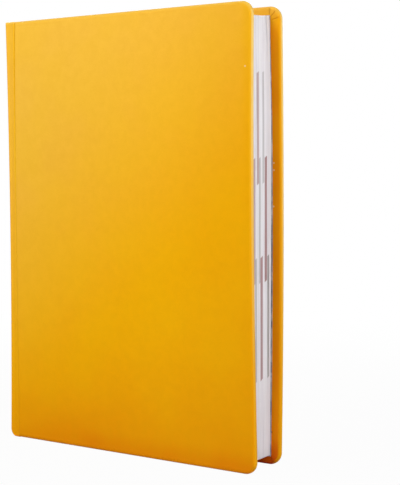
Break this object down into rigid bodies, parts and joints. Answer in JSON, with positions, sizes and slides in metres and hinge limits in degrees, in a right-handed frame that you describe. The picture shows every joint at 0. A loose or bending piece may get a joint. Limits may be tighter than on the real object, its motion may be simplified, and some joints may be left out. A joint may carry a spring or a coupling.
{
  "type": "hardcover notepad",
  "caption": "Hardcover notepad: trimmed leaves in a smooth leatherette case whose front and back covers swing open on creases beside the flat spine.",
  "frame": {"origin": "middle of the base of the whole book's box, under the tail, with the book standing closed", "axes": "+X from the spine to the fore edge, the front cover faces -Y, +Z from the tail up to the head"},
  "size_m": [0.1504, 0.0302, 0.215],
  "materials": {
    "leatherette": "smooth satin, fine grain",
    "greyboard": "raw",
    "endpaper": "matt, mottled tint",
    "leaves": "trimmed edges",
    "lining": "matt",
    "band": "woven stripes"
  },
  "bodies": {
    "book_block": {"page_block": "leaves", "front_flyleaf": "endpaper", "back_flyleaf": "endpaper", "spine_lining": "lining", "headband": "band", "tailband": "band", "spine_inlay": "greyboard", "spine_leatherette": "leatherette"},
    "front_cover": {"front_leatherette": "leatherette", "front_board": "greyboard", "front_pastedown": "endpaper"},
    "back_cover": {"back_leatherette": "leatherette", "back_board": "greyboard", "back_pastedown": "endpaper"}
  },
  "joints": [
    {"name": "front_cover_hinge", "type": "hinge", "parent": "book_block", "child": "front_cover", "pos_m": [-0.06895, -0.01162, 0.1075], "axis": [0, 0, -1], "range_deg": [0, 180]},
    {"name": "back_cover_hinge", "type": "hinge", "parent": "book_block", "child": "back_cover", "pos_m": [-0.06895, 0.01308, 0.1075], "axis": [0, 0, 1], "range_deg": [0, 180]}
  ]
}
